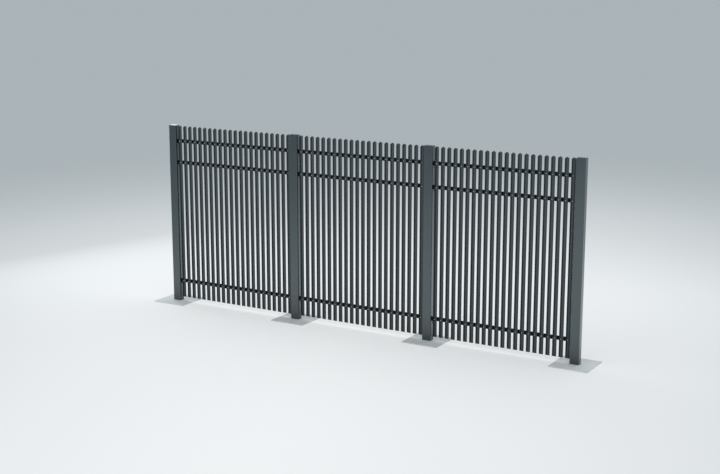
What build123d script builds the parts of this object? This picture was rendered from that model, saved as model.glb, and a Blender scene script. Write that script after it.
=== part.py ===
"""Palisade fence: bays of pressed W-section steel pales on three tube rails between box posts.

The fence runs along X and is seen from -Y. The pales stand in front of the rails, the rails run
between the posts, and each post stands through a thin concrete footing. The origin is on the
ground, under the middle of the fence.
"""

import os
from math import cos, floor, radians, tan

from build123d import *

# Driving dimensions, in millimetres.
# Overall layout.
bay_count = 3
post_spacing = 2000.0
fence_height = 2510.0

# Box posts, their push-in caps and their footings.
post_width = 120.0
post_depth = 80.0
post_wall = 4.0
post_corner_radius = 6.0
cap_thickness = 5.0
cap_spigot_depth = 24.0
cap_spigot_wall = 3.0
cap_spigot_clearance = 0.2
footing_size = 500.0
footing_height = 10.0
footing_bevel = 2.0
footing_joint = 0.5

# Pales, pressed from one strip of sheet into a W.
pale_pitch = 85.5
pale_width = 57.0
pale_sheet = 2.5
pale_depth = 15.0
pale_valley_spacing = 46.0
pale_ridge_rise = 11.5
pale_ridge_flat = 5.0
pale_crown_slope = 38.0
pale_crown_radius = 10.0
pale_ground_gap = 60.0
pale_top_drop = 3.0

# Rails, rolled box tubes on angle cleats.
rail_setback = 13.0
rail_height = 50.0
rail_depth = 20.0
rail_wall = 2.0
rail_end_gap = 2.0
top_rail_drop = 220.0
upper_rail_drop = 300.0
lower_rail_rise = 295.0
cleat_leg = 35.0
cleat_thickness = 4.0
cleat_width = 18.0

# Fasteners.
pale_bolt_diameter = 15.0
pale_bolt_height = 16.0
cleat_bolt_flats = 13.0
cleat_bolt_height = 5.0
bolt_sides = 6

# Sizes worked out from the driving ones.
post_count = bay_count + 1
fence_run = bay_count * post_spacing
post_xs = [i * post_spacing - fence_run / 2 for i in range(post_count)]
bay_xs = [(a + b) / 2 for a, b in zip(post_xs, post_xs[1:])]
post_top = fence_height - cap_thickness
clear_width = post_spacing - post_width
pale_bottom = pale_ground_gap
pale_top = fence_height - pale_top_drop
pale_count = floor((clear_width - pale_width) / pale_pitch) + 1
pale_xs = [(i - (pale_count - 1) / 2) * pale_pitch for i in range(pale_count)]
pale_edge = pale_width / 2
pale_point = pale_top + pale_crown_radius * (1 / cos(radians(pale_crown_slope)) - 1)
pale_shoulder = pale_point - pale_edge * tan(radians(pale_crown_slope))
edge_y = rail_setback - pale_depth
ridge_y = rail_setback - pale_ridge_rise
rail_middle = rail_setback + rail_depth / 2
rail_length = clear_width - 2 * rail_end_gap
top_rail_z = fence_height - top_rail_drop
rail_zs = {
    "lower": lower_rail_rise,
    "upper": top_rail_z - upper_rail_drop,
    "top": top_rail_z,
}
cleat_bolt_x = (cleat_leg + cleat_thickness) / 2
pales_per_node = 2

os.makedirs("parts", exist_ok=True)


def write(builder, node):
    """Label a finished piece and write its STEP file."""
    builder.part.label = node
    export_step(builder.part, f"parts/{node}.step")


# One box post: a rolled tube, open at both ends.
with BuildPart() as post:
    with BuildSketch():
        RectangleRounded(post_width, post_depth, post_corner_radius)
        Rectangle(post_width - 2 * post_wall, post_depth - 2 * post_wall, mode=Mode.SUBTRACT)
    extrude(amount=post_top)

# One post cap: a flat lid flush with the tube, on a hollow spigot that plugs into it.
spigot_width = post_width - 2 * (post_wall + cap_spigot_clearance)
spigot_depth = post_depth - 2 * (post_wall + cap_spigot_clearance)
with BuildPart() as cap:
    with BuildSketch(Plane.XY.offset(post_top)):
        RectangleRounded(post_width, post_depth, post_corner_radius)
    extrude(amount=cap_thickness)
    with BuildSketch(Plane.XY.offset(post_top)):
        Rectangle(spigot_width, spigot_depth)
        Rectangle(
            spigot_width - 2 * cap_spigot_wall,
            spigot_depth - 2 * cap_spigot_wall,
            mode=Mode.SUBTRACT,
        )
    extrude(amount=-cap_spigot_depth)

# One footing: a square concrete pad cast round the foot of the post.
with BuildPart() as footing:
    with BuildSketch():
        Rectangle(footing_size, footing_size)
    extrude(amount=footing_height)
    chamfer(footing.faces().sort_by(Axis.Z)[-1].edges(), footing_bevel)
    with BuildSketch():
        RectangleRounded(
            post_width + 2 * footing_joint,
            post_depth + 2 * footing_joint,
            post_corner_radius + footing_joint,
        )
    extrude(amount=footing_height, mode=Mode.SUBTRACT)

# One rail: a box tube between two posts, its front face against the valleys of the pales.
with BuildPart() as rail:
    with BuildSketch(Plane.YZ.offset(-rail_length / 2)):
        with Locations((rail_middle, 0)):
            Rectangle(rail_depth, rail_height)
            Rectangle(rail_depth - 2 * rail_wall, rail_height - 2 * rail_wall, mode=Mode.SUBTRACT)
    extrude(amount=rail_length)

# One pale: the fold line of its back face is thickened to the sheet, drawn up to full height, and
# cut to a blunt point in front view. Its valleys touch the rails, its ridge and edges stand proud.
valley_x = pale_valley_spacing / 2
ridge_x = pale_ridge_flat / 2
with BuildPart() as pale:
    with BuildSketch(Plane.XY.offset(pale_bottom)):
        with BuildLine():
            Polyline(
                (-pale_edge, edge_y),
                (-valley_x, rail_setback),
                (-ridge_x, ridge_y),
                (ridge_x, ridge_y),
                (valley_x, rail_setback),
                (pale_edge, edge_y),
            )
            offset(amount=pale_sheet, kind=Kind.TANGENT, side=Side.RIGHT)
        make_face()
    extrude(amount=pale_top - pale_bottom)
    with BuildSketch(Plane.XZ.offset(-rail_setback)) as front_view:
        with BuildLine():
            Polyline(
                (-pale_edge, pale_shoulder),
                (-pale_edge, pale_bottom),
                (pale_edge, pale_bottom),
                (pale_edge, pale_shoulder),
                (0, pale_point),
                close=True,
            )
        make_face()
        fillet(front_view.vertices().sort_by(Axis.Y)[-1], pale_crown_radius)
    extrude(amount=pale_depth + pale_sheet, mode=Mode.INTERSECT)

# One pale bolt: its cap nut, seated on the flat of the ridge.
with BuildPart() as pale_bolt:
    with BuildSketch(Plane.XZ.offset(pale_sheet - ridge_y)):
        RegularPolygon(pale_bolt_diameter / 2, bolt_sides)
    extrude(amount=pale_bolt_height)

# One rail cleat: an angle welded to the side of a post, which carries the end of a rail.
with BuildPart() as cleat:
    with BuildSketch(Plane.XZ.offset(-rail_middle - cleat_width / 2)):
        with BuildLine():
            Polyline(
                (0, 0),
                (cleat_leg, 0),
                (cleat_leg, -cleat_thickness),
                (cleat_thickness, -cleat_thickness),
                (cleat_thickness, -cleat_leg),
                (0, -cleat_leg),
                close=True,
            )
        make_face()
    extrude(amount=cleat_width)

# One cleat bolt: a hexagon head under the cleat, holding the rail down on it.
with BuildPart() as cleat_bolt:
    with BuildSketch(Plane.XY.offset(-cleat_thickness)):
        with Locations((cleat_bolt_x, rail_middle)):
            RegularPolygon(cleat_bolt_flats / 2, bolt_sides, major_radius=False)
    extrude(amount=-cleat_bolt_height)

# Posts, caps and footings in their places.
for number, post_x in enumerate(post_xs, start=1):
    for piece, node in (
        (post, f"post_{number}"),
        (cap, f"post_{number}_cap"),
        (footing, f"post_{number}_footing"),
    ):
        with BuildPart() as placed:
            with Locations((post_x, 0, 0)):
                add(piece.part)
        write(placed, node)

# Rails, pales and pale bolts, bay by bay.
for number, bay_x in enumerate(bay_xs, start=1):
    for level, rail_z in rail_zs.items():
        with BuildPart() as placed:
            with Locations((bay_x, 0, rail_z)):
                add(rail.part)
        write(placed, f"bay_{number}_{level}_rail")
    for first in range(0, pale_count, pales_per_node):
        group = pale_xs[first : first + pales_per_node]
        with BuildPart() as placed:
            with Locations(*[(bay_x + x, 0, 0) for x in group]):
                add(pale.part)
        write(placed, f"bay_{number}_pales_{first + 1:02d}_{first + len(group):02d}")
    with BuildPart() as placed:
        with Locations(*[(bay_x + x, 0, z) for x in pale_xs for z in rail_zs.values()]):
            add(pale_bolt.part)
    write(placed, f"bay_{number}_pale_bolts")

# Rail cleats and their bolts: one at each end of each rail, mirrored at the right-hand post.
with BuildPart() as right_cleat:
    mirror(cleat.part, about=Plane.YZ)
with BuildPart() as right_cleat_bolt:
    mirror(cleat_bolt.part, about=Plane.YZ)
cleat_zs = [z - rail_height / 2 for z in rail_zs.values()]
left_ends = [(x - clear_width / 2, 0, z) for x in bay_xs for z in cleat_zs]
right_ends = [(x + clear_width / 2, 0, z) for x in bay_xs for z in cleat_zs]
for left_piece, right_piece, node in (
    (cleat, right_cleat, "rail_cleats"),
    (cleat_bolt, right_cleat_bolt, "rail_cleat_bolts"),
):
    with BuildPart() as placed:
        with Locations(*left_ends):
            add(left_piece.part)
        with Locations(*right_ends):
            add(right_piece.part)
    write(placed, node)
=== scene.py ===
"""Palisade fence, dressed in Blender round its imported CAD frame.

Posts and footings are the CAD solids with real finishes. Pales, rails, caps, cleats, nuts and bolts
are modelled again here with the rolled folds, rounded rims, domes and welds that the solids leave out.
"""

import logging
import math
from collections.abc import Callable, Iterable, Sequence
from dataclasses import dataclass
from enum import Enum
from functools import partial

import bmesh
import bpy
from bpy.types import Material, Node, NodeSocket, NodeTree, Object
from mathutils import Matrix, Vector


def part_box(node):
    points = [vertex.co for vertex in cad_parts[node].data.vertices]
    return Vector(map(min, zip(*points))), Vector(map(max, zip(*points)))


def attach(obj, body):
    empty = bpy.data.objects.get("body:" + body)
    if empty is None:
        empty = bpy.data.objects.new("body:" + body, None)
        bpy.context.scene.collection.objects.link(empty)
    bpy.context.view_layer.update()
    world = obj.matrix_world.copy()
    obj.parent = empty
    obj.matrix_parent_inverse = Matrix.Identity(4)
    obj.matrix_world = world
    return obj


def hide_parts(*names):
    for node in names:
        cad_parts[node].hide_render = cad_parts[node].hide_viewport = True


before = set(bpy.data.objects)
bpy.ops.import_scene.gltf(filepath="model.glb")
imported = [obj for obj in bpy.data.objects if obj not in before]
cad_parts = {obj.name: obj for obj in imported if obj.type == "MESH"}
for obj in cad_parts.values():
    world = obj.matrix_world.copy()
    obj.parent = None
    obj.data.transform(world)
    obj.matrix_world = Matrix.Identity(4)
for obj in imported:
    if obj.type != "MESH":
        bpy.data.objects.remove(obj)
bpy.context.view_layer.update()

MM = 0.001
BODY = "root"
HEXAGON = 6
QUARTER_TURN = math.radians(90)
# The axes, by their place in a vector.
X, Y, Z = range(3)
# The sockets with which a Mix node mixes colours: the inputs under and over, and the output.
UNDER, OVER, MIXED = 6, 7, 2

# Tolerances in metres: for points that lie in one row, and for points that lie in one face.
NEAR = 0.1 * MM
FLUSH = 0.01 * MM
# The decimals of a metre to which the points of one column agree.
COLUMN_DECIMALS = 6
# How much of a face's normal, and of an edge's length, lies along an axis that it follows.
FACING = 0.9
ALONG = 0.99
# The band that most of a noise's values lie in, and a narrower one that turns them into patches.
NOISE_BAND = (0.3, 0.7)
PATCH_BAND = (0.35, 0.65)

Range = tuple[float, float]
Point = tuple[float, float, float]

log = logging.getLogger("palisade_fence")


class Pick(Enum):
    """What a selection in edit mode is made of."""

    POINTS = "VERT"
    EDGES = "EDGE"
    FACES = "FACE"


class Slot(Enum):
    """The names of the record's material slots."""

    POWDER_COAT = "powder_coat"
    ZINC_PLATE = "zinc_plate"
    CAP_PLASTIC = "cap_plastic"


class End(Enum):
    """The end of a rail, by the direction from its post into the bay."""

    LEFT = 1
    RIGHT = -1


def start_piece(
    primitive: Callable[..., set[str]], name: str, middle: Vector, extent: Vector, **options: object
) -> Object:
    """Add a primitive of unit size, stretch it to its size at its place, and open it in edit mode.

    Args:
        primitive: The operator that adds it.
        name: The new piece's name.
        middle: Where its middle goes, in metres.
        extent: Its size along its own axes, in metres.
        options: More settings of the operator.

    Returns:
        The new piece, in edit mode, with its place in its mesh.
    """
    bpy.ops.object.select_all(action="DESELECT")
    primitive(location=middle, **options)
    piece = bpy.context.object
    piece.name = name
    piece.data.name = name
    piece.scale = extent
    bpy.ops.object.transform_apply(location=True, rotation=True, scale=True)
    bpy.ops.object.mode_set(mode="EDIT")
    return piece


def start_box(name: str, middle: Vector, extent: Vector) -> Object:
    """Start a piece from a box of a size in metres, and open it in edit mode."""
    return start_piece(bpy.ops.mesh.primitive_cube_add, name, middle, extent, size=1)


def start_round(
    name: str, middle: Vector, diameter: float, height: float, sides: int, turn: float = 0.0
) -> Object:
    """Start a piece from an upright disc of a size in millimetres, and open it in edit mode.

    Args:
        name: The new piece's name.
        middle: Where its middle goes, in millimetres.
        diameter: Its size across its corners.
        height: Its thickness.
        sides: The number of its sides.
        turn: How far it is tipped forwards, in radians.

    Returns:
        The new piece.
    """
    return start_piece(
        bpy.ops.mesh.primitive_cylinder_add,
        name,
        middle * MM,
        Vector((diameter, diameter, height)) * MM,
        vertices=sides,
        radius=0.5,
        depth=1,
        rotation=(turn, 0, 0),
    )


def pick(kind: Pick, wanted: Callable[..., bool]) -> None:
    """Select the points, edges or faces of the piece in edit mode that pass a test.

    Args:
        kind: What to select.
        wanted: Takes one of them and says whether it is selected.
    """
    bpy.ops.mesh.select_all(action="DESELECT")
    bpy.ops.mesh.select_mode(type=kind.value)
    mesh = bpy.context.edit_object.data
    form = bmesh.from_edit_mesh(mesh)
    parts = {Pick.POINTS: form.verts, Pick.EDGES: form.edges, Pick.FACES: form.faces}[kind]
    for part in [part for part in parts if wanted(part)]:
        part.select_set(True)
    form.select_flush_mode()
    bmesh.update_edit_mesh(mesh)


def pick_facing(axis: int, way: int) -> None:
    """Select the faces that look along an axis, forwards (1) or backwards (-1)."""
    pick(Pick.FACES, lambda f: f.normal[axis] * way > FACING)


def middle_of(edge: bmesh.types.BMEdge) -> Vector:
    """The middle of an edge."""
    return (edge.verts[0].co + edge.verts[1].co) / 2


def runs_along(edge: bmesh.types.BMEdge, axis: int) -> bool:
    """Whether an edge runs along one axis."""
    run = edge.verts[1].co - edge.verts[0].co
    return abs(run[axis]) > ALONG * run.length


def draw_out(*move: float) -> None:
    """Extrude the selected faces by a move along X, Y and Z, in metres."""
    bpy.ops.mesh.extrude_region_move(TRANSFORM_OT_translate={"value": move})


def step_in(width: float) -> None:
    """Inset the selected faces by a width in millimetres."""
    bpy.ops.mesh.inset(thickness=width * MM)


def round_off(width: float, segments: int) -> None:
    """Bevel the selected edges by a width in millimetres."""
    bpy.ops.mesh.bevel(offset=width * MM, segments=segments, affect="EDGES")


def modify(piece: Object, kind: str, **settings: object) -> None:
    """Add a modifier to a piece, set it, and apply it.

    Args:
        piece: The piece, in object mode.
        kind: The modifier's type.
        settings: Its properties.
    """
    modifier = piece.modifiers.new(kind.title(), kind)
    for name, value in settings.items():
        setattr(modifier, name, value)
    bpy.context.view_layer.objects.active = piece
    bpy.ops.object.modifier_apply(modifier=modifier.name)


def close_piece(piece: Object, crease: float = 40.0) -> None:
    """Leave edit mode and shade a finished shape: rounded where it bends, flat where it is flat.

    Args:
        piece: The piece, in edit mode or out of it.
        crease: The angle in degrees past which an edge stays sharp.
    """
    if bpy.context.mode != "OBJECT":
        bpy.ops.object.mode_set(mode="OBJECT")
    bpy.ops.object.select_all(action="DESELECT")
    piece.select_set(True)
    bpy.context.view_layer.objects.active = piece
    bpy.ops.object.shade_smooth_by_angle(angle=math.radians(crease))
    modify(piece, "WEIGHTED_NORMAL", keep_sharp=True, weight=80)


def join_pieces(name: str, pieces: list[Object]) -> Object:
    """Join pieces into the first of them.

    Args:
        name: The joined piece's name.
        pieces: The pieces, in object mode.

    Returns:
        The joined piece.
    """
    bpy.ops.object.select_all(action="DESELECT")
    for piece in pieces:
        piece.select_set(True)
    joined = pieces[0]
    bpy.context.view_layer.objects.active = joined
    if len(pieces) > 1:
        bpy.ops.object.join()
    joined.name = name
    joined.data.name = name
    return joined


def set_out(pattern: Object, name: str, places: Iterable[Matrix]) -> Object:
    """Copy a pattern to each of its places and join the copies into one piece.

    Args:
        pattern: The shape that repeats, modelled at the origin.
        name: The new piece's name.
        places: Where each copy goes.

    Returns:
        The joined piece, with its place in its mesh.
    """
    copies = []
    for place in places:
        mesh = pattern.data.copy()
        mesh.transform(place)
        if place.determinant() < 0:
            mesh.flip_normals()
        copy = bpy.data.objects.new(name, mesh)
        bpy.context.collection.objects.link(copy)
        copies.append(copy)
    return join_pieces(name, copies)


def put_away(pattern: Object) -> None:
    """Remove a pattern once its copies are set out."""
    bpy.data.objects.remove(pattern)


def dress(piece: Object, material: Material, slot: Slot, *nodes: str) -> None:
    """Finish a new piece and tie it to the frame.

    Args:
        piece: The piece.
        material: Its finish.
        slot: The record's slot for that finish. It is not used.
        nodes: The CAD nodes that it stands for.
    """
    piece.data.materials.clear()
    piece.data.materials.append(material)
    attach(piece, BODY)
    if nodes:
        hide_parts(*nodes)
    log.info("%s: %d faces", piece.name, len(piece.data.polygons))


def finish_node(node: str, material: Material) -> None:
    """Give a CAD node, which keeps its own shape, its finish.

    Args:
        node: The node's name.
        material: Its finish.
    """
    for material_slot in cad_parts[node].material_slots:
        material_slot.material = material
    log.info("%s: CAD shape, %s", node, material.name)


def nodes_named(*endings: str) -> list[str]:
    """The CAD nodes whose names end in one of these words."""
    return sorted(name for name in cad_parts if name.endswith(endings))


def linear(code: str) -> tuple[float, float, float, float]:
    """Turn an sRGB hex value into a linear colour.

    Args:
        code: The colour, such as "#1d1e21".

    Returns:
        Linear red, green and blue, and full alpha.
    """
    channels = [int(code[i : i + 2], 16) / 255 for i in (1, 3, 5)]
    red, green, blue = (c / 12.92 if c <= 0.04045 else ((c + 0.055) / 1.055) ** 2.4 for c in channels)
    return red, green, blue, 1.0


def per_metre(size: float) -> float:
    """The scale at which a pattern on coordinates in metres has features of a size in millimetres."""
    return 1 / (size * MM)


def span(reach: Sequence[float], result: Sequence[float] = (0.0, 1.0)) -> dict[str, float]:
    """Name the ends of two ranges, of which the first is mapped to the second."""
    return dict(zip(("From Min", "From Max", "To Min", "To Max"), (*reach, *result)))


def add_node(tree: NodeTree, kind: str, inputs: dict[str | int, object], **settings: object) -> Node:
    """Add a node with its settings and links.

    Args:
        tree: The node tree of a material or the world.
        kind: The node's type, without its ShaderNode prefix.
        inputs: A value, a socket to link, or a node whose first output in use is linked, for each
            input by name or number.
        settings: The node's own properties.

    Returns:
        The new node.
    """
    node = tree.nodes.new(f"ShaderNode{kind}")
    for name, value in settings.items():
        setattr(node, name, value)
    for name, value in inputs.items():
        if isinstance(value, Node):
            value = next(output for output in value.outputs if output.enabled)
        if isinstance(value, NodeSocket):
            tree.links.new(value, node.inputs[name])
        else:
            node.inputs[name].default_value = value
    return node


def new_material(name: str) -> tuple[Material, Callable[..., Node], NodeSocket]:
    """Make an empty material.

    Args:
        name: Its name.

    Returns:
        The material, the function that adds a node to it, and the socket with the place on the
        object, in metres.
    """
    material = bpy.data.materials.new(name)
    material.use_nodes = True
    tree = material.node_tree
    tree.nodes.clear()
    add = partial(add_node, tree)
    return material, add, add("TexCoord", {}).outputs["Object"]


def seen_share(add: Callable[..., Node], share: float) -> Node:
    """Tell rays that show the set, to the camera or in a reflection, from rays that light it.

    Args:
        add: The function that adds a node to the floor's material or the world.
        share: The value for rays that show the set. It is 0 for the others.

    Returns:
        The node that gives that value.
    """
    rays = add("LightPath", {}).outputs
    seen = add("Math", {0: rays["Is Camera Ray"], 1: rays["Is Glossy Ray"]}, operation="ADD")
    through = add("Math", {0: seen, 1: rays["Is Transmission Ray"]}, operation="ADD")
    return add("Math", {0: through, 1: share}, operation="MULTIPLY", use_clamp=True)


@dataclass(frozen=True)
class PowderCoat:
    """Polyester powder coat on galvanised steel, sprayed dry in a dark and a clear layer and cured.

    To the eye it is one even blue-black under a gloss that grows towards grazing views, with a fine
    orange peel, slightly cloudy gloss, a coat that is a little thin and pale on sharp edges, and dirt
    splashed up from the ground. On the pales it is painted lighter towards the top, a painted light
    that stands in for brighter reflections higher up.
    """

    name: str = "anthracite_powder_coat_on_steel"
    colour: str = "#11222a"
    cloud_colour: str = "#15262e"
    edge_colour: str = "#39434a"
    dust_colour: str = "#2c2b28"
    roughness: Range = (0.17, 0.24)
    specular: float = 1.0
    specular_tint: str = "#ebfdff"
    clear_coat: float = 1.0
    clear_roughness: float = 0.18
    cloud_size: float = 160.0
    gloss_size: float = 35.0
    # Real orange peel is about 1.5 mm, and 2 mm still shows in a close view.
    peel_size: float = 2.0
    peel_height: float = 0.01
    peel_strength: float = 0.6
    speck_size: float = 5.0
    edge_radius: float = 0.6
    # The cosine of an edge's turn at which the coat begins to thin, and at which it is thinnest.
    edge_turn: Range = (0.98, 0.75)
    edge_share: float = 0.5
    dust_height: float = 420.0
    dust_share: float = 0.35
    # How much rougher than the coat full dust is.
    dust_roughness: float = 3.0
    # Painted light: the colour, heights and share with which the pales are painted lighter towards the
    # top.
    painted_top_light_colour: str = "#394145"
    painted_top_light_height: Range = (400.0, 2600.0)
    painted_top_light_share: float = 0.0

    def material(self) -> Material:
        """Build the finish as a node material.

        Returns:
            The material.
        """
        material, add, at = new_material(self.name)
        clouds, speck, gloss, peel = (
            add("TexNoise", {"Vector": at, "Scale": per_metre(size), "Detail": detail})
            for size, detail in (
                (self.cloud_size, 3.0),
                (self.speck_size, 4.0),
                (self.gloss_size, 2.0),
                (self.peel_size, 1.0),
            )
        )

        # Painted light: lighter towards the top, standing in for brighter reflections higher up.
        height = add("SeparateXYZ", {"Vector": at}).outputs["Z"]
        rise = [z * MM for z in self.painted_top_light_height]
        painted_top_light = add("MapRange", {"Value": height, **span(rise, (0.0, self.painted_top_light_share))})

        # Thin coat on sharp edges, broken up by a speckle.
        soft = add("Bevel", {"Radius": self.edge_radius * MM}, samples=4)
        true = add("NewGeometry", {}).outputs["Normal"]
        turn = add("VectorMath", {0: soft, 1: true}, operation="DOT_PRODUCT")
        edge = add("MapRange", {"Value": turn, **span(self.edge_turn, (0.0, self.edge_share))})
        thin = add("Math", {0: edge, 1: speck}, operation="MULTIPLY")

        # Dirt that splashes up from the ground.
        low = add(
            "MapRange",
            {"Value": height, **span((self.dust_height * MM, 0.0), (0.0, self.dust_share))},
            interpolation_type="SMOOTHSTEP",
        )
        dust = add("Math", {0: low, 1: speck}, operation="MULTIPLY")

        colour = linear(self.colour)
        for share, over in (
            (clouds, self.cloud_colour),
            (painted_top_light, self.painted_top_light_colour),
            (thin, self.edge_colour),
            (dust, self.dust_colour),
        ):
            colour = add("Mix", {"Factor": share, UNDER: colour, OVER: linear(over)}, data_type="RGBA")

        satin = add("MapRange", {"Value": gloss, **span(NOISE_BAND, self.roughness)})
        roughness = add("Math", {0: dust, 1: self.dust_roughness, 2: satin}, operation="MULTIPLY_ADD")
        bump = add(
            "Bump", {"Height": peel, "Distance": self.peel_height * MM, "Strength": self.peel_strength}
        )
        shader = add(
            "BsdfPrincipled",
            {
                "Base Color": colour,
                "Roughness": roughness,
                "Normal": bump,
                "Specular IOR Level": self.specular,
                "Specular Tint": linear(self.specular_tint),
                "Coat Weight": self.clear_coat,
                "Coat Roughness": self.clear_roughness,
            },
        )
        add("OutputMaterial", {"Surface": shader})
        return material


@dataclass(frozen=True)
class ZincPlate:
    """Zinc, electroplated on nuts, washers and bolts and then passivated.

    To the eye it is a cool pale metal under a thin chalky bloom, clouded by duller patches where it has
    begun to oxidise, and finely pitted. Painted shade darkens the faces that look up and a nut round
    its seat.
    """

    name: str = "passivated_zinc_plate"
    colour: str = "#f0f3f4"
    dull_colour: str = "#d2d7da"
    # Painted shade: the dark colour and share of the shade painted on top faces and round a nut's seat.
    painted_shade_colour: str = "#23282b"
    painted_shade_share: float = 0.9
    # Where the painted shade round the seat begins to thin out and where it ends, from back to front.
    # Both lie behind the fence here, so that it is left out.
    seat_shade_reach: Range = (60.0, 50.0)
    # How far up a face looks, as the upward part of its normal, where the painted shade on top begins
    # and is full.
    top_shade_tilt: Range = (0.2, 0.5)
    # The share of the surface that is still bright metal. The rest is the bloom.
    bright_share: float = 0.3
    roughness: Range = (0.12, 0.22)
    patch_size: float = 7.0
    # Real pits are a few hundredths of a millimetre across, and are drawn coarser so that they show.
    pit_size: float = 0.6
    pit_depth: float = 0.02
    pit_strength: float = 0.5

    def material(self) -> Material:
        """Build the finish as a node material.

        Returns:
            The material.
        """
        material, add, at = new_material(self.name)
        patch, pits = (
            add("TexNoise", {"Vector": at, "Scale": per_metre(size), "Detail": detail})
            for size, detail in ((self.patch_size, 3.0), (self.pit_size, 1.0))
        )
        dull = add("MapRange", {"Value": patch, **span(PATCH_BAND)})

        # Painted shade round the seat and on faces that look up.
        depth = add("SeparateXYZ", {"Vector": at}).outputs["Y"]
        facing = add("NewGeometry", {}).outputs["Normal"]
        upward = add("SeparateXYZ", {"Vector": facing}).outputs["Z"]
        front_to_back = [y * MM for y in reversed(self.seat_shade_reach)]
        seat, top = (
            add("MapRange", {"Value": value, **span(reach, (0.0, self.painted_shade_share))})
            for value, reach in ((depth, front_to_back), (upward, self.top_shade_tilt))
        )
        painted_shade = add("Math", {0: seat, 1: top}, operation="MAXIMUM")

        colour = linear(self.colour)
        for share, over in ((dull, self.dull_colour), (painted_shade, self.painted_shade_colour)):
            colour = add("Mix", {"Factor": share, UNDER: colour, OVER: linear(over)}, data_type="RGBA")
        roughness = add("MapRange", {"Value": dull, **span((0.0, 1.0), self.roughness)})
        bump = add(
            "Bump", {"Height": pits, "Distance": self.pit_depth * MM, "Strength": self.pit_strength}
        )
        shader = add(
            "BsdfPrincipled",
            {
                "Base Color": colour,
                "Metallic": self.bright_share,
                "Roughness": roughness,
                "Normal": bump,
            },
        )
        add("OutputMaterial", {"Surface": shader})
        return material


@dataclass(frozen=True)
class CapPlastic:
    """Polyethylene, injection moulded against a spark-eroded tool and coloured through.

    To the eye it is near black and a little duller than the steel, with a fine even grain, faint flow
    marks and a dusty bloom.
    """

    name: str = "moulded_polyethylene"
    colour: str = "#141d22"
    bloom_colour: str = "#1e2a30"
    roughness: Range = (0.18, 0.26)
    ior: float = 1.51
    flow_size: float = 18.0
    flow_swirl: float = 1.2
    # The real grain is about 0.3 mm, and is drawn coarser so that it shows.
    grain_size: float = 0.8
    grain_height: float = 0.03
    grain_strength: float = 0.5

    def material(self) -> Material:
        """Build the finish as a node material.

        Returns:
            The material.
        """
        material, add, at = new_material(self.name)
        scale = per_metre(self.flow_size)
        flow = add(
            "TexNoise", {"Vector": at, "Scale": scale, "Detail": 3.0, "Distortion": self.flow_swirl}
        )
        colour = add(
            "Mix",
            {"Factor": flow, UNDER: linear(self.colour), OVER: linear(self.bloom_colour)},
            data_type="RGBA",
        )
        roughness = add("MapRange", {"Value": flow, **span(NOISE_BAND, self.roughness)})
        grain = add("TexVoronoi", {"Vector": at, "Scale": per_metre(self.grain_size)})
        bump = add(
            "Bump",
            {"Height": grain, "Distance": self.grain_height * MM, "Strength": self.grain_strength},
        )
        shader = add(
            "BsdfPrincipled",
            {"Base Color": colour, "Roughness": roughness, "Normal": bump, "IOR": self.ior},
        )
        add("OutputMaterial", {"Surface": shader})
        return material


@dataclass(frozen=True)
class CastConcrete:
    """Concrete, cast in a square form and floated smooth.

    To the eye it is a cool pale grey with cloudy patches of laitance, fine sand, small air pores with
    painted shade in them, and a chalky surface with no gloss.
    """

    name: str = "cast_concrete"
    colour: str = "#cbd1d1"
    patch_colour: str = "#d3d8d8"
    sand_colour: str = "#bdc2c2"
    # Painted shade: the colour painted in the pores.
    pore_shade_colour: str = "#8e9292"
    roughness: Range = (0.78, 0.92)
    patch_size: float = 90.0
    patch_swirl: float = 0.6
    sand_size: float = 2.5
    sand_height: float = 0.4
    # The band of the sand's noise over which a grain comes up, and its share of the colour there.
    sand_band: Range = (0.45, 0.7)
    sand_share: float = 0.6
    pore_spacing: float = 16.0
    pore_radius: float = 1.6
    # The part of a pore's radius that is full depth, and that depth as a multiple of the sand's height.
    pore_core: float = 0.6
    pore_depth: float = 2.0
    relief_strength: float = 0.7

    def material(self) -> Material:
        """Build the finish as a node material.

        Returns:
            The material.
        """
        material, add, at = new_material(self.name)
        scale = per_metre(self.patch_size)
        patch = add(
            "TexNoise", {"Vector": at, "Scale": scale, "Detail": 5.0, "Distortion": self.patch_swirl}
        )
        blotch = add("MapRange", {"Value": patch, **span(PATCH_BAND)})
        sand = add("TexNoise", {"Vector": at, "Scale": per_metre(self.sand_size), "Detail": 2.0})
        grit = add("MapRange", {"Value": sand, **span(self.sand_band, (0.0, self.sand_share))})
        cells = add("TexVoronoi", {"Vector": at, "Scale": per_metre(self.pore_spacing)})
        reach = self.pore_radius / self.pore_spacing
        pore = add("MapRange", {"Value": cells, **span((reach, self.pore_core * reach))})

        colour = linear(self.colour)
        for share, over in (
            (blotch, self.patch_colour),
            (grit, self.sand_colour),
            (pore, self.pore_shade_colour),
        ):
            colour = add("Mix", {"Factor": share, UNDER: colour, OVER: linear(over)}, data_type="RGBA")
        roughness = add("MapRange", {"Value": patch, **span(NOISE_BAND, self.roughness)})
        relief = add("Math", {0: pore, 1: -self.pore_depth, 2: sand}, operation="MULTIPLY_ADD")
        bump = add(
            "Bump",
            {"Height": relief, "Distance": self.sand_height * MM, "Strength": self.relief_strength},
        )
        shader = add("BsdfPrincipled", {"Base Color": colour, "Roughness": roughness, "Normal": bump})
        add("OutputMaterial", {"Surface": shader})
        return material


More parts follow.
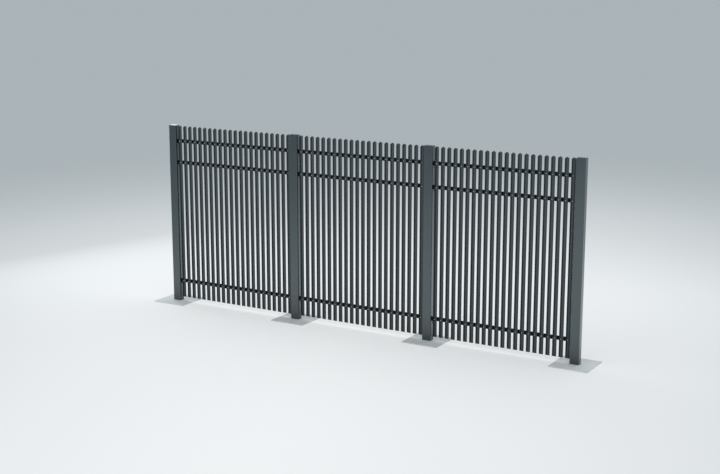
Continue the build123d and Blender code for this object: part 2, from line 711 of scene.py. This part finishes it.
@dataclass(frozen=True)
class StudioPaint:
    """Matt studio paint on the floor, with a painted pool of light round the fence: pale there and
    greyer far behind it.

    The pool's place and reach are in metres and its turn is in degrees. It is stretched by its length
    away from the camera, and it runs on to the front, where distances count only in part.
    """

    name: str = "matt_studio_paint"
    # Painted light: the floor is painted with a pool of light round the fence, from this colour near it
    # to the far colour.
    colour: str = "#fcfeff"
    far_colour: str = "#b0b8bc"
    roughness: float = 0.9
    specular: float = 0.1
    light_pool_place: Point = (-0.34, 0.57, 0.0)
    light_pool_turn: float = 20.1
    light_pool_length: float = 1.13
    light_pool_front: float = 0.2
    light_pool_reach: Range = (-3.6, 16.0)
    # The share of the floor's look, to the camera and in reflections, that is its painted colour shown
    # as a glow with no shade in it; the rest shows the object's shadow.
    plain_share: float = 0.4

    def material(self) -> Material:
        """Build the finish as a node material.

        Returns:
            The material.
        """
        material, add, at = new_material(self.name)
        pool = add(
            "Mapping",
            {
                "Vector": at,
                "Location": self.light_pool_place,
                "Rotation": (0.0, 0.0, math.radians(self.light_pool_turn)),
                "Scale": (1.0, self.light_pool_length, 1.0),
            },
            vector_type="TEXTURE",
        )
        across = add("SeparateXYZ", {"Vector": pool}).outputs
        front = add("Math", {0: across["Y"], 1: self.light_pool_front}, operation="MULTIPLY")
        along = add("Math", {0: across["Y"], 1: front}, operation="MAXIMUM")
        place = add("CombineXYZ", {"X": across["X"], "Y": along})
        away = add("VectorMath", {0: place}, operation="LENGTH")
        far = add(
            "MapRange", {"Value": away, **span(self.light_pool_reach)}, interpolation_type="SMOOTHERSTEP"
        )
        colour = add(
            "Mix",
            {"Factor": far, UNDER: linear(self.colour), OVER: linear(self.far_colour)},
            data_type="RGBA",
        )
        paint = add(
            "BsdfPrincipled",
            {"Base Color": colour, "Roughness": self.roughness, "Specular IOR Level": self.specular},
        )
        # Painted light: the floor's painted colour glows for rays that show the set.
        plain = add("Emission", {"Color": colour})
        floor = add("MixShader", {0: seen_share(add, self.plain_share), 1: paint, 2: plain})
        add("OutputMaterial", {"Surface": floor})
        return material


@dataclass
class Pales:
    """The pales: strips of sheet with a blunt point, rolled to a W and bolted to the rails.

    Sizes are in millimetres and angles in degrees. The fold points are those of the back face before
    it is rounded, and the whole fold line is set back so far that the rounded valleys touch the rails.
    """

    width: float = 57.0
    sheet: float = 2.5
    bottom: float = 60.0
    top: float = 2507.0
    rail_face: float = 13.0
    depth: float = 15.0
    valley_spacing: float = 46.0
    valley_radius: float = 4.0
    ridge_rise: float = 11.5
    ridge_flat: float = 5.0
    ridge_radius: float = 2.0
    crown_slope: float = 38.0
    crown_radius: float = 10.0
    rim_round: float = 0.5
    rim_angle: float = 60.0

    def set_back(self) -> float:
        """Work out how far the sharp valley lies behind the rail's face, which the rounded one touches.

        Returns:
            The distance, in millimetres.
        """
        inner = math.atan2(self.ridge_rise, (self.valley_spacing - self.ridge_flat) / 2)
        outer = math.atan2(self.depth, (self.width - self.valley_spacing) / 2)
        return self.valley_radius * (math.cos((outer - inner) / 2) / math.cos((outer + inner) / 2) - 1)

    def ridge_face(self) -> float:
        """Where the front of the ridge lies, in metres."""
        return (self.rail_face + self.set_back() - self.ridge_rise - self.sheet) * MM

    def nodes(self) -> list[str]:
        """The CAD's pairs of pales."""
        return sorted(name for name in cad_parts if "_pales_" in name)

    def middles(self, node: str) -> tuple[float, float]:
        """Find the middle lines of a pair of pales.

        Args:
            node: The pair's name.

        Returns:
            Where they lie along the fence, in metres.
        """
        low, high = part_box(node)
        half = self.width / 2 * MM
        return low.x + half, high.x - half

    def fold_line(self) -> list[tuple[float, float]]:
        """Lay out the corners of the back face across the pale, before they are rounded.

        Returns:
            Their places from left to right, in millimetres.
        """
        valley_y = self.rail_face + self.set_back()
        right = [
            (self.ridge_flat / 2, valley_y - self.ridge_rise),
            (self.valley_spacing / 2, valley_y),
            (self.width / 2, valley_y - self.depth),
        ]
        return [(-x, y) for x, y in reversed(right)] + right

    def round_fold(self, x: float, radius: float, segments: int) -> None:
        """Round the two folds at plus and minus x, in edit mode.

        Args:
            x: How far they lie from the middle, in millimetres.
            radius: The back face's radius there, in millimetres.
            segments: The number of flats in each rounded fold.
        """
        line = self.fold_line()
        at = min(range(len(line)), key=lambda i: abs(line[i][0] - x))
        before, here, after = (Vector(line[i]) for i in (at - 1, at, at + 1))
        turn = (here - before).angle(after - here)
        pick(Pick.EDGES, lambda e: runs_along(e, Z) and abs(abs(middle_of(e).x) - x * MM) < NEAR)
        round_off(radius * math.tan(turn / 2), segments)

    def crown_drop(self, x: float) -> float:
        """Work out how far the crown lies under its tip, along a round that runs into straight slopes.

        Args:
            x: The place across the pale from its middle, in metres.

        Returns:
            The drop, in metres.
        """
        slope, radius = math.radians(self.crown_slope), self.crown_radius * MM
        if abs(x) < radius * math.sin(slope):
            return radius - math.sqrt(radius**2 - x**2)
        return abs(x) * math.tan(slope) - radius * (1 / math.cos(slope) - 1)

    def model(self) -> Object:
        """Model one pale on the middle line of the fence.

        Returns:
            The pattern that every pale is copied from.
        """
        line = self.fold_line()
        pale = start_piece(
            bpy.ops.mesh.primitive_grid_add,
            "pale_pattern",
            Vector((0, 0, (self.top + self.bottom) / 2 * MM)),
            Vector((self.width * MM, (self.top - self.bottom) * MM, 1)),
            x_subdivisions=len(line) - 1,
            y_subdivisions=1,
            size=1,
            rotation=(QUARTER_TURN, 0, 0),
        )
        flat = [(i / (len(line) - 1) - 0.5) * self.width for i in range(len(line))]
        # The outer columns move first, so that no column passes another.
        for i in sorted(range(len(line)), key=lambda i: -abs(line[i][0])):
            pick(Pick.POINTS, lambda v: abs(v.co.x - flat[i] * MM) < NEAR and abs(v.co.y) < FLUSH)
            bpy.ops.transform.translate(value=((line[i][0] - flat[i]) * MM, line[i][1] * MM, 0))
        self.round_fold(self.valley_spacing / 2, self.valley_radius, segments=4)
        self.round_fold(self.ridge_flat / 2, self.ridge_radius, segments=2)
        # More columns for the crown: two cuts in each broad face, one in the flat of the ridge.
        half_flat = self.ridge_flat / 2
        for low, high, cuts in ((self.ridge_flat, self.width / 2, 2), (-half_flat, half_flat, 1)):
            pick(
                Pick.EDGES,
                lambda e: not runs_along(e, Z)
                and low * MM < abs(middle_of(e).x) < high * MM
                and e.calc_length() > half_flat * MM,
            )
            bpy.ops.mesh.subdivide(number_cuts=cuts)
        points = bmesh.from_edit_mesh(pale.data).verts
        for x in sorted({round(v.co.x, COLUMN_DECIMALS) for v in points}):
            pick(
                Pick.POINTS,
                lambda v: round(v.co.x, COLUMN_DECIMALS) == x and v.co.z > self.top * MM - NEAR,
            )
            bpy.ops.transform.translate(value=(0, 0, -self.crown_drop(x)))
        bpy.ops.object.mode_set(mode="OBJECT")
        modify(pale, "SOLIDIFY", thickness=self.sheet * MM, offset=1.0, use_even_offset=True)
        modify(
            pale,
            "BEVEL",
            width=self.rim_round * MM,
            segments=1,
            limit_method="ANGLE",
            angle_limit=math.radians(self.rim_angle),
        )
        close_piece(pale)
        return pale

    def build(self, material: Material) -> None:
        """Set a pair of pales out in the place of each of the CAD's pairs.

        Args:
            material: Their finish.
        """
        pattern = self.model()
        for node in self.nodes():
            places = [Matrix.Translation((x, 0, 0)) for x in self.middles(node)]
            pair = set_out(pattern, f"{node}_rolled", places)
            dress(pair, material, Slot.POWDER_COAT, node)
        put_away(pattern)


@dataclass
class Rails:
    """The rails: box tubes with rolled corners, open at their ends. Sizes are in millimetres."""

    wall: float = 2.0
    corner_radius: float = 2.0

    def build(self, material: Material) -> None:
        """Model one rail and set it out in the place of each of the CAD's.

        Args:
            material: Their finish.
        """
        nodes = nodes_named("_rail")
        low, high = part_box(nodes[0])
        pattern = start_box("rail_pattern", Vector(), high - low)
        pick(Pick.EDGES, lambda e: runs_along(e, X))
        round_off(self.corner_radius, segments=3)
        pick(Pick.FACES, lambda f: abs(f.normal.x) > FACING)
        bpy.ops.mesh.delete(type="FACE")
        bpy.ops.object.mode_set(mode="OBJECT")
        modify(pattern, "SOLIDIFY", thickness=self.wall * MM, offset=-1.0, use_even_offset=True)
        close_piece(pattern)
        for node in nodes:
            low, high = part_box(node)
            rail = set_out(pattern, f"{node}_tube", [Matrix.Translation((low + high) / 2)])
            dress(rail, material, Slot.POWDER_COAT, node)
        put_away(pattern)


@dataclass
class CapNuts:
    """The nuts that hold the pales: a washer, a hexagon and a closed dome.

    Sizes are in millimetres. The dome closes in steps, each with its rise and its narrowing.
    """

    washer_diameter: float = 17.0
    washer_height: float = 1.6
    hexagon_flats: float = 13.0
    hexagon_height: float = 4.5
    chamfer: float = 0.5
    dome_diameter: float = 13.0
    dome_height: float = 3.4
    dome_rise: tuple[float, float] = (3.6, 2.9)
    dome_narrowing: tuple[float, float] = (0.82, 0.45)
    round_sides: int = 12

    def disc(self, name: str, seat: float, diameter: float, height: float, sides: int) -> Object:
        """Start a disc that faces the front, in edit mode with its front face selected.

        Args:
            name: Its name.
            seat: How far its back lies in front of the nut's seat.
            diameter: Its size across its corners.
            height: Its thickness.
            sides: The number of its sides.

        Returns:
            The disc.
        """
        middle = Vector((0, -(seat + height / 2), 0))
        piece = start_round(name, middle, diameter, height, sides, QUARTER_TURN)
        pick_facing(Y, -1)
        return piece

    def model(self) -> Object:
        """Model one nut with its seat on the origin, facing the front.

        Returns:
            The pattern that every nut is copied from.
        """
        washer = self.disc("nut_washer", 0.0, self.washer_diameter, self.washer_height, self.round_sides)
        close_piece(washer)
        across = self.hexagon_flats / math.cos(math.pi / HEXAGON)
        hexagon = self.disc("nut_hexagon", self.washer_height, across, self.hexagon_height, HEXAGON)
        step_in(self.chamfer)
        bpy.ops.transform.translate(value=(0, -self.chamfer * MM, 0))
        close_piece(hexagon, crease=25.0)
        seat = self.washer_height + self.hexagon_height
        dome = self.disc("nut_dome", seat, self.dome_diameter, self.dome_height, self.round_sides)
        for rise, narrowing in zip(self.dome_rise, self.dome_narrowing):
            draw_out(0, -rise * MM, 0)
            bpy.ops.transform.resize(value=(narrowing, 1, narrowing), center_override=(0, 0, 0))
        close_piece(dome, crease=60.0)
        return join_pieces("nut_pattern", [washer, hexagon, dome])

    def build(self, pales: Pales, material: Material) -> None:
        """Set the nuts out on the ridges of each bay's pales, in the middle of the rails.

        Args:
            pales: The pales that they hold.
            material: Their finish.
        """
        pattern = self.model()
        for node in nodes_named("_pale_bolts"):
            bay = node.removesuffix("pale_bolts")
            pairs = [name for name in pales.nodes() if name.startswith(bay)]
            rails = [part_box(name) for name in nodes_named("_rail") if name.startswith(bay)]
            places = [
                Matrix.Translation((x, pales.ridge_face(), (low.z + high.z) / 2))
                for pair in pairs
                for x in pales.middles(pair)
                for low, high in rails
            ]
            nuts = set_out(pattern, f"{node}_domed", places)
            dress(nuts, material, Slot.ZINC_PLATE, node)
        put_away(pattern)


@dataclass
class Posts:
    """The posts and their footings, which keep their CAD shapes."""

    names: tuple[str, ...] = ("post_1", "post_2", "post_3", "post_4")

    def build(self, steel: Material, concrete: Material) -> None:
        """Finish every post and footing.

        Args:
            steel: The posts' finish.
            concrete: The footings' finish.
        """
        for name in self.names:
            finish_node(name, steel)
            finish_node(f"{name}_footing", concrete)


@dataclass
class PostCaps:
    """The caps: moulded lids with a soft rim, a shadow line over the tube and a hollow spigot.

    Sizes are in millimetres.
    """

    corner_radius: float = 6.0
    rim_width: float = 1.6
    rim_round: float = 1.44
    shadow_height: float = 0.8
    shadow_depth: float = 1.2
    crown_inset: float = 3.6
    crown_rise: float = 0.4
    spigot_inset: float = 3.0
    spigot_wall: float = 3.0

    def model(self) -> Object:
        """Model one cap, with the top of its tube on the origin.

        Returns:
            The pattern that every cap is copied from.
        """
        low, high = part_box("post_1_cap")
        tube_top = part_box("post_1")[1].z
        thickness = high.z - tube_top - (self.shadow_height + self.crown_rise) * MM
        lid_top = self.shadow_height * MM + thickness
        cap = start_box(
            "cap_pattern",
            Vector((0, 0, lid_top - thickness / 2)),
            Vector((high.x - low.x, high.y - low.y, thickness)),
        )
        pick(Pick.EDGES, lambda e: runs_along(e, Z))
        round_off(self.corner_radius, segments=5)
        pick_facing(Z, 1)
        step_in(self.rim_width)
        step_in(self.crown_inset)
        bpy.ops.transform.translate(value=(0, 0, self.crown_rise * MM))
        # The underside: the shadow line, the outside of the spigot, and its hollow.
        pick_facing(Z, -1)
        for inset, rise in (
            (self.shadow_depth, -self.shadow_height * MM),
            (self.spigot_inset, low.z - tube_top),
            (self.spigot_wall, tube_top - low.z),
        ):
            step_in(inset)
            draw_out(0, 0, rise)
        pick(
            Pick.EDGES,
            lambda e: all(abs(v.co.z - lid_top) < FLUSH for v in e.verts)
            and any(abs(f.normal.z) < 1 - FACING for f in e.link_faces),
        )
        round_off(self.rim_round, segments=3)
        close_piece(cap)
        return cap

    def build(self, material: Material) -> None:
        """Set a cap out on each post.

        Args:
            material: Their finish.
        """
        pattern = self.model()
        for node in nodes_named("_cap"):
            low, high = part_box(node)
            tube_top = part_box(node.removesuffix("_cap"))[1].z
            place = Matrix.Translation(((low.x + high.x) / 2, (low.y + high.y) / 2, tube_top))
            dress(set_out(pattern, f"{node}_moulded", [place]), material, Slot.CAP_PLASTIC, node)
        put_away(pattern)


@dataclass
class RailCleats:
    """The cleats under the rail ends: bent angles welded to the posts, and their bolts.

    Sizes are in millimetres.
    """

    leg: float = 35.0
    thickness: float = 4.0
    width: float = 18.0
    bend_round: float = 3.0
    tip_radius: float = 3.0
    bolt_flats: float = 13.0
    bolt_height: float = 3.8
    bolt_round: float = 0.9
    washer_diameter: float = 16.0
    washer_height: float = 1.2
    washer_round: float = 0.25
    washer_sides: int = 24
    bead_width: float = 4.0
    bead_ripples: int = 7
    bead_sides: int = 8
    # The width of a bead between two ripples, as a share of its width on them.
    bead_waist: float = 0.82

    def model_cleat(self) -> Object:
        """Model one cleat for a left end, with the inside of its bend to the lower right.

        Returns:
            The pattern, with the corner of post and rail on the origin.
        """
        cleat = start_box(
            "cleat_pattern",
            Vector((self.leg / 2, 0, -self.thickness / 2)) * MM,
            Vector((self.leg, self.width, self.thickness)) * MM,
        )
        bpy.ops.mesh.select_all(action="SELECT")
        bpy.ops.mesh.bisect(plane_co=(self.thickness * MM, 0, 0), plane_no=(1, 0, 0))
        pick(
            Pick.FACES,
            lambda f: f.normal.z < -FACING and f.calc_center_median().x < self.thickness * MM,
        )
        draw_out(0, 0, (self.thickness - self.leg) * MM)
        pick(Pick.EDGES, lambda e: runs_along(e, Y) and middle_of(e).length < NEAR)
        round_off(self.bend_round, segments=4)
        tip = self.leg * MM - NEAR
        pick(
            Pick.EDGES,
            lambda e: (runs_along(e, Z) and middle_of(e).x > tip)
            or (runs_along(e, X) and middle_of(e).z < -tip),
        )
        round_off(self.tip_radius, segments=3)
        close_piece(cleat)
        return cleat

    def model_bead(self) -> Object:
        """Model one weld bead: a bar that is drawn up in ripples along the cleat's edge.

        Returns:
            The pattern, from the origin downwards.
        """
        step = (self.leg - 2 * self.tip_radius) / self.bead_ripples
        middle = Vector((0, 0, -step / 2))
        bead = start_round("bead_pattern", middle, self.bead_width, step, self.bead_sides)
        pick_facing(Z, -1)
        for ripple in range(1, self.bead_ripples):
            swell = self.bead_waist if ripple % 2 else 1 / self.bead_waist
            draw_out(0, 0, -step * MM)
            bpy.ops.transform.resize(value=(swell, swell, 1), center_override=(0, 0, 0))
        close_piece(bead, crease=80.0)
        return bead

    def model_bolt(self) -> Object:
        """Model one cleat bolt: a washer with a hexagon head under it.

        Returns:
            The pattern, with its seat on the origin.
        """
        name = "cleat_bolt_pattern"
        middle = Vector((0, 0, -self.washer_height / 2))
        washer = start_round(name, middle, self.washer_diameter, self.washer_height, self.washer_sides)
        pick(Pick.EDGES, lambda e: not runs_along(e, Z))
        round_off(self.washer_round, segments=1)
        close_piece(washer)
        across = self.bolt_flats / math.cos(math.pi / HEXAGON)
        middle = Vector((0, 0, -self.washer_height - self.bolt_height / 2))
        head = start_round("cleat_bolt_head", middle, across, self.bolt_height, HEXAGON)
        pick_facing(Z, -1)
        round_off(self.bolt_round, segments=2)
        close_piece(head)
        return join_pieces(name, [washer, head])

    def corners(self) -> list[tuple[Vector, End]]:
        """Find where each rail end meets its post, at the underside of the rail.

        Returns:
            Each place, with the end of the rail that it belongs to.
        """
        found = []
        posts = [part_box(name) for name in Posts.names]
        for node in nodes_named("_rail"):
            low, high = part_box(node)
            y = (low.y + high.y) / 2
            left = max(post[1].x for post in posts if post[1].x < low.x)
            right = min(post[0].x for post in posts if post[0].x > high.x)
            found.append((Vector((left, y, low.z)), End.LEFT))
            found.append((Vector((right, y, low.z)), End.RIGHT))
        return found

    def build(self, steel: Material, zinc: Material) -> None:
        """Set the cleats, their welds and their bolts out at every rail end.

        Args:
            steel: The finish of cleats and welds.
            zinc: The finish of the bolts.
        """
        places = [
            Matrix.Translation(corner) @ Matrix.Scale(end.value, 4, (1, 0, 0))
            for corner, end in self.corners()
        ]
        cleat = self.model_cleat()
        dress(set_out(cleat, "rail_cleats_bent", places), steel, Slot.POWDER_COAT, "rail_cleats")
        put_away(cleat)
        bead = self.model_bead()
        sides = [Vector((0, side * self.width / 2, -self.tip_radius)) * MM for side in (-1, 1)]
        toes = [place @ Matrix.Translation(side) for place in places for side in sides]
        dress(set_out(bead, "rail_cleat_welds", toes), steel, Slot.POWDER_COAT)
        put_away(bead)
        bolt = self.model_bolt()
        seat = Matrix.Translation(Vector(((self.leg + self.thickness) / 2, 0, -self.thickness)) * MM)
        bolts = set_out(bolt, "rail_cleat_bolts_hexagon", [place @ seat for place in places])
        dress(bolts, zinc, Slot.ZINC_PLATE, "rail_cleat_bolts")
        put_away(bolt)


@dataclass(frozen=True)
class Softbox:
    """A lamp behind a sheet of diffuser. Sizes are in metres and the power is in watts."""

    name: str
    place: Point
    aim: Point
    size: tuple[float, float]
    power: float

    def build(self) -> None:
        """Hang the lamp, out of the camera's sight."""
        lamp = bpy.data.lights.new(self.name, "AREA")
        lamp.shape = "RECTANGLE"
        lamp.size, lamp.size_y = self.size
        lamp.energy = self.power
        softbox = bpy.data.objects.new(self.name, lamp)
        bpy.context.scene.collection.objects.link(softbox)
        softbox.location = self.place
        ahead = Vector(self.aim) - Vector(self.place)
        softbox.rotation_euler = ahead.to_track_quat("-Z", "Y").to_euler()
        softbox.visible_camera = False


@dataclass
class Studio:
    """The floor, the light and the camera. Sizes are in metres and angles in degrees."""

    floor_size: float = 600.0
    sky: str = "#f3f5f6"
    backdrop: str = "#acb5b9"
    softboxes: tuple[Softbox, ...] = (
        Softbox("left_softbox", (-6.6, 1.75, 3.0), (-1.6, 0.19, 2.9), (4.6, 3.0), 90.0),
        Softbox("back_softbox", (2.9, 4.4, 3.2), (2.0, 0.8, 0.0), (1.6, 1.4), 15.0),
    )
    camera_place: Point = (8.4675, -14.357, 4.804)
    camera_heading: float = -30.511
    camera_dip: float = 12.083
    camera_lens: float = 65.785
    picture_width: int = 720

    def lay_floor(self, paint: Material) -> None:
        """Lay the floor.

        Args:
            paint: Its finish.
        """
        bpy.ops.object.select_all(action="DESELECT")
        bpy.ops.mesh.primitive_plane_add(size=self.floor_size)
        floor = bpy.context.object
        floor.name = "studio_floor"
        floor.data.materials.append(paint)

    def light(self) -> None:
        """Make the world, bright to rays that light the fence and plain to rays that show it."""
        world = bpy.data.worlds.new("studio_world")
        bpy.context.scene.world = world
        world.use_nodes = True
        tree = world.node_tree
        add = partial(add_node, tree)
        tint = add(
            "Mix",
            {"Factor": seen_share(add, 1.0), UNDER: linear(self.sky), OVER: linear(self.backdrop)},
            data_type="RGBA",
        )
        tree.links.new(tint.outputs[MIXED], tree.nodes["Background"].inputs["Color"])
        for softbox in self.softboxes:
            softbox.build()

    def set_camera(self) -> None:
        """Put the camera where the photograph was taken from."""
        heading, dip = math.radians(self.camera_heading), math.radians(self.camera_dip)
        level = math.cos(dip)
        ahead = Vector((math.sin(heading) * level, math.cos(heading) * level, -math.sin(dip)))
        half_pixel = 0.5 / self.picture_width
        lens = bpy.data.cameras.new("photo_camera")
        lens.lens = self.camera_lens
        lens.clip_end = self.floor_size
        lens.shift_x = -half_pixel
        lens.shift_y = half_pixel
        camera = bpy.data.objects.new("photo_camera", lens)
        bpy.context.scene.collection.objects.link(camera)
        camera.location = self.camera_place
        camera.rotation_euler = ahead.to_track_quat("-Z", "Y").to_euler()
        bpy.context.scene.camera = camera

    def build(self, floor_paint: Material) -> None:
        """Make the floor, the light and the camera.

        Args:
            floor_paint: The floor's finish.
        """
        bpy.context.scene.view_settings.view_transform = "Standard"
        self.lay_floor(floor_paint)
        self.light()
        self.set_camera()


def main() -> None:
    """Build and dress the fence, then set the studio round it."""
    logging.basicConfig(level=logging.INFO, format="%(name)s: %(message)s")
    steel = PowderCoat().material()
    zinc = ZincPlate().material()
    Posts().build(steel, CastConcrete().material())
    PostCaps().build(CapPlastic().material())
    # The rails get a near-black copy of the coat that is rougher and less glossy, with no clear coat.
    rail_coat = PowderCoat(
        name="near_black_rail_coat_on_steel",
        colour="#04080b",
        cloud_colour="#060b0e",
        edge_colour="#10161a",
        roughness=(0.5, 0.6),
        specular=0.12,
        clear_coat=0.0,
    ).material()
    Rails().build(rail_coat)
    # Painted light: the pales are painted fully lighter at the top.
    pale_coat = PowderCoat(
        name="satin_anthracite_powder_coat_on_steel",
        colour="#263035",
        cloud_colour="#2a3439",
        specular=0.12,
        painted_top_light_share=1.0,
    ).material()
    pales = Pales()
    pales.build(pale_coat)
    # Painted shade: the nuts are painted dark round their seats, over the washer and hexagon.
    nut_zinc = ZincPlate(name="zinc_plate_with_painted_shade", seat_shade_reach=(-5.0, -8.0)).material()
    CapNuts().build(pales, nut_zinc)
    RailCleats().build(steel, zinc)
    Studio().build(StudioPaint().material())


if __name__ == "__main__":
    main()
